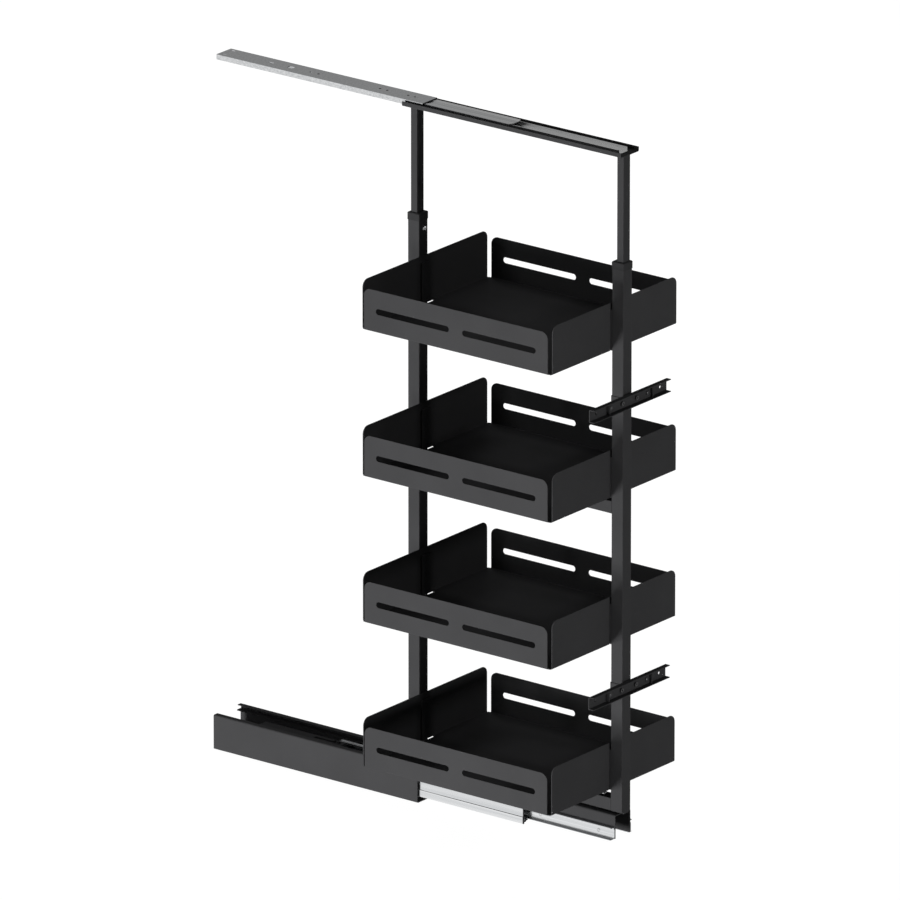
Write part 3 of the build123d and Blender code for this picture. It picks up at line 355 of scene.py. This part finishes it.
def turned(
    mesh: bmesh.types.BMesh, place: Vector, axis: Vector, profile: list[tuple[float, float]],
    outlines: dict[int, Outline] | None = None, closed: bool = False,
) -> None:
    """Turn a profile about an axis, as on a lathe.

    Args:
        mesh: Mesh that takes the shape.
        place: Where the axis has height zero.
        axis: Direction of growing height.
        profile: Radius and height of each corner, in millimetres.
        outlines: Outlines of those rings that aren't round, by the number of the corner.
        closed: Whether the last corner joins the first, round a bore.
    """
    side = axis.orthogonal().normalized()
    across = axis.cross(side)
    older = set(mesh.verts)
    corners = [
        mesh.verts.new(place + (axis * height + side * radius) * MM) for radius, height in profile
    ]
    pairs = list(zip(corners, corners[1:])) + ([(corners[-1], corners[0])] if closed else [])
    edges = [mesh.edges.new(pair) for pair in pairs]
    bmesh.ops.spin(
        mesh, geom=corners + edges, cent=place, axis=axis, angle=math.tau, steps=ROUND_STEPS,
        use_merge=True,
    )
    new = [vert for vert in mesh.verts if vert not in older]
    bmesh.ops.remove_doubles(mesh, verts=new, dist=MERGE)
    for vert in (vert for vert in mesh.verts if vert not in older):
        height = (vert.co - place).dot(axis)
        spoke = vert.co - place - axis * height
        for number, outline in (outlines or {}).items():
            radius, level = (length * MM for length in profile[number])
            miss = max(abs(spoke.length - radius), abs(height - level))
            if miss < RING_TOLERANCE:
                angle = math.atan2(spoke.dot(across), spoke.dot(side))
                vert.co = place + axis * height + spoke * outline.share(angle)
                break


@dataclass(frozen=True)
class Screw:
    """A headed screw with a recess for its key or driver. Lengths are in millimetres."""

    head_radius: float
    head_height: float
    shank_radius: float
    shank_length: float
    recess_radius: float
    recess_depth: float
    recess: Outline = Outline.HEXAGON
    round_over: float = 0.5
    tip_chamfer: float = 0.4

    def add(self, mesh: bmesh.types.BMesh, place: Vector, outwards: Vector) -> None:
        """Add the screw.

        Args:
            mesh: Mesh that takes it.
            place: Middle of the head's underside.
            outwards: Direction that the head faces.
        """
        edge, top, tip = self.round_over, self.head_height, -self.shank_length
        # Share by which a quarter round's middle stands back from the corner that it rounds over.
        low = 1 - math.cos(math.tau / 8)
        profile = [
            (0, tip), (self.shank_radius - self.tip_chamfer, tip),
            (self.shank_radius, tip + self.tip_chamfer), (self.shank_radius, 0),
            (self.head_radius, 0), (self.head_radius, top - edge),
            (self.head_radius - edge * low, top - edge * low), (self.head_radius - edge, top),
            (self.recess_radius, top), (self.recess_radius, top - self.recess_depth),
            (0, top - self.recess_depth),
        ]
        turned(mesh, place, outwards, profile, {8: self.recess, 9: self.recess})


@dataclass(frozen=True)
class Nut:
    """A hexagon nut, or a round one, whose sleeve may reach into its seat.

    Lengths are in millimetres, and a hexagon's radius is half its width across flats.
    """

    radius: float
    height: float
    bore_radius: float
    chamfer: float = 0.4
    hexagonal: bool = True
    sleeve_radius: float = 0.0
    sleeve_depth: float = 0.0

    def add(self, mesh: bmesh.types.BMesh, place: Vector, outwards: Vector) -> None:
        """Add the nut.

        Args:
            mesh: Mesh that takes it.
            place: Middle of its seat.
            outwards: Direction away from the seat.
        """
        profile, top = [(self.bore_radius, -self.sleeve_depth)], self.height
        if self.sleeve_radius:
            profile += [(self.sleeve_radius, -self.sleeve_depth), (self.sleeve_radius, 0)]
        first = len(profile)
        profile += [(self.radius, 0), (self.radius, top - self.chamfer)]
        profile += [(self.radius - self.chamfer, top), (self.bore_radius, top)]
        rings = {first: Outline.HEXAGON, first + 1: Outline.HEXAGON} if self.hexagonal else {}
        turned(mesh, place, outwards, profile, rings, closed=True)


@dataclass(frozen=True)
class Rivet:
    """A rivet with a domed head and a flat tail.

    Lengths are in millimetres, and the shares are of the head's radius and of a height.
    """

    head_radius: float
    head_height: float
    shank_radius: float
    grip: float
    tail_height: float
    dome_shares: tuple[tuple[float, float], ...] = ((1, 0.35), (0.92, 0.7), (0.7, 0.92), (0, 1))
    tail_radius_share: float = 0.85
    tail_edge_share: float = 0.3

    def add(self, mesh: bmesh.types.BMesh, place: Vector, outwards: Vector) -> None:
        """Add the rivet.

        Args:
            mesh: Mesh that takes it.
            place: Middle of the head's underside.
            outwards: Direction that the head faces.
        """
        wide, top, tail = self.head_radius, self.head_height, -self.grip - self.tail_height
        dome = [(wide * radius, top * height) for radius, height in self.dome_shares]
        foot = [
            (0, tail), (wide * self.tail_radius_share, tail),
            (wide, tail + self.tail_height * self.tail_edge_share),
        ]
        shank = self.shank_radius
        neck = [(wide, -self.grip), (shank, -self.grip), (shank, 0), (wide, 0)]
        turned(mesh, place, outwards, foot + neck + dome)


@dataclass
class Bench:
    """Where new pieces are finished: each gets its body and its slot's finish, and hides the nodes
    that it stands for.
    """

    workshop: Workshop

    def finish(
        self, name: str, mesh: bmesh.types.BMesh, node: str, slot: str,
        stands_for: tuple[str, ...] = (),
    ) -> None:
        """Turn a bmesh into a piece of the object.

        Args:
            name: The piece's name.
            mesh: Its shape, which is freed.
            node: A node of the body that it moves with.
            slot: Material slot that it takes its finish from.
            stands_for: Nodes that it replaces.
        """
        bmesh.ops.recalc_face_normals(mesh, faces=mesh.faces)
        data = bpy.data.meshes.new(name)
        mesh.to_mesh(data)
        mesh.free()
        data.polygons.foreach_set("use_smooth", [True] * len(data.polygons))
        data.set_sharp_from_angle(angle=SHARP_ANGLE)
        piece = bpy.data.objects.new(name, data)
        bpy.context.scene.collection.objects.link(piece)
        self.workshop.dress(piece, FINISHES[slot])
        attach(piece, body_of(frame["nodes"][node])[0])
        if stands_for:
            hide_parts(*stands_for)
        LOG.info("%s: %d faces", name, len(data.polygons))


def middle(node: str) -> Vector:
    """Middle of a node's box."""
    low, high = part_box(node)
    return (Vector(low) + Vector(high)) / 2


@dataclass
class DoorBracket:
    """Fasteners of a door bracket: two clamp screws with nuts and two cross-headed lock screws.

    Lengths are in millimetres, and the dome's shares are of the painted highlight's radius and rise.
    """

    name: str
    screw_pitch: float = 45.0
    lock_pitch: float = 114.0
    plate_sheet: float = 2.0
    channel_sheet: float = 1.5
    strap_sheet: float = 1.5
    clamp: Screw = Screw(
        head_radius=4.4, head_height=3.6, shank_radius=2.4, shank_length=11.0, recess_radius=1.9,
        recess_depth=1.8,
    )
    nut: Nut = Nut(radius=4.4, height=4.0, bore_radius=2.45)
    lock: Screw = Screw(
        head_radius=4.2, head_height=2.2, shank_radius=2.0, shank_length=2.0, recess_radius=3.0,
        recess_depth=1.2, recess=Outline.CROSS, round_over=0.9, tip_chamfer=0.2,
    )
    highlight_radius: float = 1.3
    highlight_rise: float = 0.5
    highlight_dome_shares: tuple[tuple[float, float], ...] = ((1, 0.4), (0.7, 0.85), (0, 1))

    def build(self, bench: Bench) -> None:
        """Build the screws, the nuts and the bright domes in the screws' recesses, which are painted
        highlights.

        Args:
            bench: Where the pieces are finished.
        """
        spot = middle(f"{self.name}_bracket_channel")
        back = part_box(f"{self.name}_bracket_channel")[1][1]
        plate_front = back - (self.channel_sheet + self.plate_sheet) * MM
        nut_front = back + self.strap_sheet * MM
        clamps, locks, centres = bmesh.new(), bmesh.new(), bmesh.new()
        for side in (-1, 1):
            x = spot.x + side * self.screw_pitch / 2 * MM
            self.clamp.add(clamps, Vector((x, plate_front, spot.z)), FRONT)
            self.nut.add(clamps, Vector((x, nut_front, spot.z)), BACK)
            self.add_highlight_dome(centres, Vector((x, plate_front, spot.z)), self.clamp)
            x = spot.x + side * self.lock_pitch / 2 * MM
            self.lock.add(locks, Vector((x, plate_front, spot.z)), FRONT)
            self.add_highlight_dome(centres, Vector((x, plate_front, spot.z)), self.lock)
        screws, lock_screws = f"{self.name}_bracket_screws", f"{self.name}_lock_screws"
        bench.finish(
            f"{self.name}_clamp_screws_and_nuts", clamps, screws, "black_screw", (screws,),
        )
        bench.finish(
            f"{self.name}_cross_screws", locks, lock_screws, "black_screw", (lock_screws,),
        )
        # Bright zinc domes in the recesses: painted highlights on the screws' heads.
        bench.finish(f"{self.name}_screw_highlight_domes", centres, screws, "bright_screw")

    def add_highlight_dome(self, mesh: bmesh.types.BMesh, seat: Vector, screw: Screw) -> None:
        """Add a bright dome on the floor of a screw's recess, a painted highlight.

        Args:
            mesh: Mesh that takes it.
            seat: Middle of the head's underside.
            screw: The screw that it lies in.
        """
        floor = screw.head_height - screw.recess_depth
        radius, rise = self.highlight_radius, self.highlight_rise
        profile = [(0, floor - rise), (radius, floor - rise)]
        profile += [(radius * out, floor + rise * up) for out, up in self.highlight_dome_shares]
        turned(mesh, seat, FRONT, profile)


@dataclass
class PostClamps:
    """Screws that lock the height below the collars, in nuts set in the posts' inner faces.

    Lengths are in millimetres.
    """

    nut: Nut = Nut(
        radius=5.6, height=0.8, bore_radius=3.0, chamfer=0.3, hexagonal=False, sleeve_radius=4.5,
        sleeve_depth=4.4,
    )
    head_radius: float = 4.4
    head_height: float = 3.0
    head_round: float = 0.7
    shank_radius: float = 2.95
    tip_gap: float = 0.3
    key_radius: float = 1.9
    key_depth: float = 1.8

    def build(self, bench: Bench) -> None:
        """Build both clamps.

        Args:
            bench: Where the pieces are finished.
        """
        nuts, screws = bmesh.new(), bmesh.new()
        low, high = (Vector(corner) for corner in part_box("clamp_screws"))
        for end, outwards in (("front", BACK), ("rear", FRONT)):
            side = 1 if outwards is BACK else 0
            face, tube_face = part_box(f"{end}_post")[side][1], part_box(f"{end}_inner_tube")[side][1]
            height = (low.z + high.z) / 2
            place = Vector((0, face, height))
            seat = place + outwards * self.nut.height * MM
            self.nut.add(nuts, place, outwards)
            shank = abs(seat.y - tube_face) / MM - self.tip_gap
            screw = Screw(
                self.head_radius, self.head_height, self.shank_radius, shank, self.key_radius,
                self.key_depth, round_over=self.head_round,
            )
            screw.add(screws, seat, outwards)
        bench.finish("post_clamp_nuts", nuts, "clamp_nuts", "black_screw", ("clamp_nuts",))
        bench.finish("post_clamp_screws", screws, "clamp_screws", "bright_screw", ("clamp_screws",))


@dataclass
class FootBolts:
    """Bolts through the bottom tube, the foot plates and the carrier's top, with their nuts.

    Lengths are in millimetres.
    """

    head_height: float = 3.0
    nut_overrun: float = 1.0
    bolt_radius: float = 2.9
    head_radius: float = 4.6
    key_radius: float = 1.9
    key_depth: float = 1.8
    nut: Nut = Nut(radius=5.0, height=4.0, bore_radius=2.95)

    def build(self, bench: Bench) -> None:
        """Build both bolts and their nuts.

        Args:
            bench: Where the piece is finished.
        """
        mesh = bmesh.new()
        low, high = (Vector(corner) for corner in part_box("foot_bolts"))
        nut_half = self.nut.radius * MM
        for y in (low.y + nut_half, high.y - nut_half):
            under_head = high.z - self.head_height * MM
            bolt = Screw(
                self.head_radius, self.head_height, self.bolt_radius, (under_head - low.z) / MM,
                self.key_radius, self.key_depth,
            )
            bolt.add(mesh, Vector((0, y, under_head)), UP)
            nut_top = low.z + (self.nut_overrun + self.nut.height) * MM
            self.nut.add(mesh, Vector((0, y, nut_top)), DOWN)
        bench.finish("foot_bolts_and_nuts", mesh, "foot_bolts", "bright_screw", ("foot_bolts",))


@dataclass
class Rivets:
    """Rivets of the floor slides' inner members and of the top rail. Lengths are in millimetres."""

    carrier_steps: tuple[float, ...] = (0, 140, 280, 420)
    rail_steps: tuple[float, ...] = (0, 136, 296, 432)
    carrier_rivet: Rivet = Rivet(
        head_radius=3.4, head_height=0.8, shank_radius=2.0, grip=3.5, tail_height=1.2,
    )
    rail_rivet: Rivet = Rivet(
        head_radius=3.4, head_height=0.9, shank_radius=2.0, grip=2.7, tail_height=0.9,
    )

    def build(self, bench: Bench) -> None:
        """Build both sets of rivets.

        Args:
            bench: Where the pieces are finished.
        """
        mesh = bmesh.new()
        low, high = (Vector(corner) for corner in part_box("carrier_rivets"))
        rivet = self.carrier_rivet
        for outwards, edge in ((LEFT, low.x), (RIGHT, high.x)):
            for step in self.carrier_steps:
                y = low.y + (rivet.head_radius + step) * MM
                place = Vector((edge, y, (low.z + high.z) / 2)) - outwards * rivet.head_height * MM
                rivet.add(mesh, place, outwards)
        bench.finish("carrier_rivet_set", mesh, "carrier_rivets", "bright_screw", ("carrier_rivets",))
        mesh = bmesh.new()
        low, high = (Vector(corner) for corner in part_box("rail_rivets"))
        rivet = self.rail_rivet
        for step in self.rail_steps:
            y = low.y + (rivet.head_radius + step) * MM
            rivet.add(mesh, Vector((0, y, high.z - rivet.head_height * MM)), UP)
        bench.finish("rail_rivet_set", mesh, "rail_rivets", "bright_screw", ("rail_rivets",))


@dataclass
class SoftCloser:
    """Coil spring and screws of the soft-close unit in the trough. Lengths are in millimetres."""

    turns: int = 44
    wire_radius: float = 0.45
    steps_a_turn: int = 12
    wire_steps: int = 6
    screw: Screw = Screw(
        head_radius=3.4, head_height=2.0, shank_radius=1.9, shank_length=2.8, recess_radius=2.2,
        recess_depth=1.1, recess=Outline.CROSS, round_over=0.9, tip_chamfer=0.2,
    )

    def build(self, bench: Bench) -> None:
        """Build the coil and the screws.

        Args:
            bench: Where the pieces are finished.
        """
        low, high = (Vector(corner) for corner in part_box("damper_spring"))
        mesh, spot = bmesh.new(), (low + high) / 2
        wire = self.wire_radius * MM
        radius = (high.z - low.z) / 2 - wire
        start = Vector((0, low.y + wire, spot.z + radius))
        turn = RIGHT.to_track_quat("Z", "Y").to_matrix().to_4x4()
        ring = bmesh.ops.create_circle(
            mesh, cap_ends=False, segments=self.wire_steps, radius=wire,
            matrix=Matrix.Translation(start) @ turn,
        )
        count = self.turns * self.steps_a_turn
        length = high.y - low.y - 2 * wire
        bmesh.ops.spin(
            mesh, geom=ring["verts"] + list(mesh.edges), cent=Vector((0, low.y, spot.z)), axis=BACK,
            dvec=BACK * length / count, angle=math.tau * self.turns, steps=count, use_merge=False,
        )
        open_edges = [edge for edge in mesh.edges if edge.is_boundary]
        bmesh.ops.holes_fill(mesh, edges=open_edges, sides=0)
        bench.finish("soft_close_spring", mesh, "damper_spring", "zinc_steel", ("damper_spring",))
        mesh = bmesh.new()
        low, high = (Vector(corner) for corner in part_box("damper_screws"))
        inset = self.screw.head_radius * MM
        for x in (low.x + inset, high.x - inset):
            for y in (low.y + inset, high.y - inset):
                self.screw.add(mesh, Vector((x, y, high.z - self.screw.head_height * MM)), UP)
        bench.finish("soft_close_screws", mesh, "damper_screws", "bright_screw", ("damper_screws",))


@dataclass(frozen=True)
class Softbox:
    """A rectangular studio lamp, placed by its direction and distance from what it lights.

    The azimuth is zero in front of the object and grows towards its right. A lamp below the horizon
    shines up through the floor, as on a light table.
    """

    name: str
    azimuth: float
    elevation: float
    distance: float
    width: float
    height: float
    power: float
    shows_in_gloss: bool = True

    def hang(self, centre: Vector) -> None:
        """Put the lamp in the scene, facing a point.

        Args:
            centre: Point that the lamp faces.
        """
        turn, lift = math.radians(self.azimuth), math.radians(self.elevation)
        level = Vector((math.sin(turn), -math.cos(turn), 0))
        away = level * math.cos(lift) + UP * math.sin(lift)
        lamp = bpy.data.lights.new(self.name, "AREA")
        lamp.shape = "RECTANGLE"
        lamp.size, lamp.size_y, lamp.energy = self.width, self.height, self.power
        holder = bpy.data.objects.new(self.name, lamp)
        holder.location = centre + self.distance * away
        holder.rotation_euler = away.to_track_quat("Z", "Y").to_euler()
        holder.visible_glossy = self.shows_in_gloss
        bpy.context.scene.collection.objects.link(holder)


# Azimuth and elevation are in degrees, distance, width and height in metres, and power in watts.
# Most don't show in gloss, so that the zinc mirrors the grey walls in their place.
SOFTBOXES = (
    Softbox("left_low", -106, -18, 5.1, 0.5, 1.5, 296, shows_in_gloss=False),
    Softbox("left_fill", -86, -5, 5.0, 0.3, 0.9, 55, shows_in_gloss=False),
    Softbox("left_high", -103, 20, 5.5, 1.2, 1.2, 34, shows_in_gloss=False),
    Softbox("front_low", 0, -4, 6.0, 0.2, 0.5, 91),
    Softbox("front_high", 0, 25, 6.6, 0.46, 0.46, 53),
    Softbox("back_right", 140, 30, 6.0, 2.5, 2.0, 73, shows_in_gloss=False),
    Softbox("overhead", 100, 75, 6.0, 2.5, 2.5, 27, shows_in_gloss=False),
    Softbox("right_low", 101, -4, 5.0, 0.9, 0.9, 170, shows_in_gloss=False),
    Softbox("back_low", 174, -4, 5.0, 0.9, 0.9, 120, shows_in_gloss=False),
)


@dataclass
class Studio:
    """Floor, lamps, surroundings and camera."""

    floor_radius: float = 60.0
    floor_segments: int = 96
    floor_gap: float = 0.2 * MM
    floor_colour: str = "#e6e6e6"
    floor_roughness: float = 0.9
    floor_glow: float = 1.12
    shadow_share: float = 0.12
    dim_surroundings: str = "#353535"
    grey_surroundings: str = "#989898"
    centre: tuple[float, float, float] = (0.0, -0.46, 0.65)
    camera_place: tuple[float, float, float] = (-27.083, -21.322, 12.486)
    camera_aim: tuple[float, float, float] = (-0.0808, -0.3584, 0.7504)
    camera_lens: float = 759.35
    camera_sensor: float = 36.0
    camera_reach: float = 200.0

    @staticmethod
    def seen_directly(tree: bpy.types.NodeTree) -> bpy.types.NodeSocket:
        """Tell what the camera sees itself, in a gloss or through glass from what only lights.

        Args:
            tree: Node tree that takes the nodes.

        Returns:
            Socket that is one for what is seen, and else zero.
        """
        rays = add_node(tree, "ShaderNodeLightPath", {}, {})
        seen = add_node(
            tree, "ShaderNodeMath", {"operation": "MAXIMUM"},
            {0: rays.outputs["Is Camera Ray"], 1: rays.outputs["Is Glossy Ray"]},
        )
        seen_through = add_node(
            tree, "ShaderNodeMath", {"operation": "MAXIMUM"},
            {0: seen.outputs[0], 1: rays.outputs["Is Transmission Ray"]},
        )
        return seen_through.outputs[0]

    def lay_floor(self) -> None:
        """Pale floor that the camera and reflections see as white, with the object's shadow on it."""
        mesh = bmesh.new()
        bmesh.ops.create_circle(
            mesh, cap_ends=True, segments=self.floor_segments, radius=self.floor_radius,
        )
        bmesh.ops.translate(mesh, verts=mesh.verts, vec=(0, 0, -self.floor_gap))
        data = bpy.data.meshes.new("studio_floor")
        mesh.to_mesh(data)
        mesh.free()
        floor = bpy.data.objects.new("studio_floor", data)
        bpy.context.scene.collection.objects.link(floor)
        floor.visible_shadow = False
        material = bpy.data.materials.new("pale_floor")
        material.use_nodes = True
        tree = material.node_tree
        paint = tree.nodes["Principled BSDF"]
        paint.inputs["Base Color"].default_value = linear(self.floor_colour)
        paint.inputs["Roughness"].default_value = self.floor_roughness
        paint.inputs["Specular IOR Level"].default_value = 0.0
        share = add_node(
            tree, "ShaderNodeMath", {"operation": "MULTIPLY", 1: 1 - self.shadow_share},
            {0: self.seen_directly(tree)},
        )
        glow = add_node(
            tree, "ShaderNodeEmission", {"Color": (1, 1, 1, 1), "Strength": self.floor_glow}, {},
        )
        mix = add_node(
            tree, "ShaderNodeMixShader", {},
            {0: share.outputs[0], 1: paint.outputs[0], 2: glow.outputs[0]},
        )
        tree.links.new(mix.outputs[0], tree.nodes["Material Output"].inputs["Surface"])
        data.materials.append(material)

    def hang_lamps(self) -> None:
        """Softboxes all round, the strongest low at the frame's left."""
        for lamp in SOFTBOXES:
            lamp.hang(Vector(self.centre))

    def fill_surroundings(self) -> None:
        """Grey walls round the floor, dim as a light so that the lamps shape the object."""
        world = bpy.data.worlds.new("studio")
        world.use_nodes = True
        tree = world.node_tree
        seen = self.seen_directly(tree)
        shade_settings = {
            "data_type": "RGBA", 6: linear(self.dim_surroundings), 7: linear(self.grey_surroundings),
        }
        shade = add_node(tree, "ShaderNodeMix", shade_settings, {0: seen})
        tree.links.new(shade.outputs[2], tree.nodes["Background"].inputs["Color"])
        bpy.context.scene.world = world

    def place_camera(self) -> None:
        """Long lens at the photograph's viewing angle."""
        lens = bpy.data.cameras.new("camera")
        lens.lens, lens.sensor_width = self.camera_lens, self.camera_sensor
        lens.clip_end = self.camera_reach
        camera = bpy.data.objects.new("camera", lens)
        camera.location = self.camera_place
        away = Vector(self.camera_place) - Vector(self.camera_aim)
        camera.rotation_euler = away.to_track_quat("Z", "Y").to_euler()
        bpy.context.scene.collection.objects.link(camera)
        bpy.context.scene.camera = camera

    def build(self) -> None:
        """Set the whole studio up."""
        self.lay_floor()
        self.hang_lamps()
        self.fill_surroundings()
        self.place_camera()
        bpy.context.scene.view_settings.view_transform = "Standard"


def main() -> None:
    """Build the studio and dress the frame."""
    logging.basicConfig(level=logging.INFO)
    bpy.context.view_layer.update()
    Studio().build()
    workshop = Workshop()
    workshop.dress_nodes()
    bench = Bench(workshop)
    assemblies = (
        DoorBracket("upper"), DoorBracket("lower"), PostClamps(), FootBolts(), Rivets(), SoftCloser(),
    )
    for assembly in assemblies:
        assembly.build(bench)
    LOG.info("dressed %d nodes", len(frame["nodes"]))


if __name__ == "__main__":
    main()
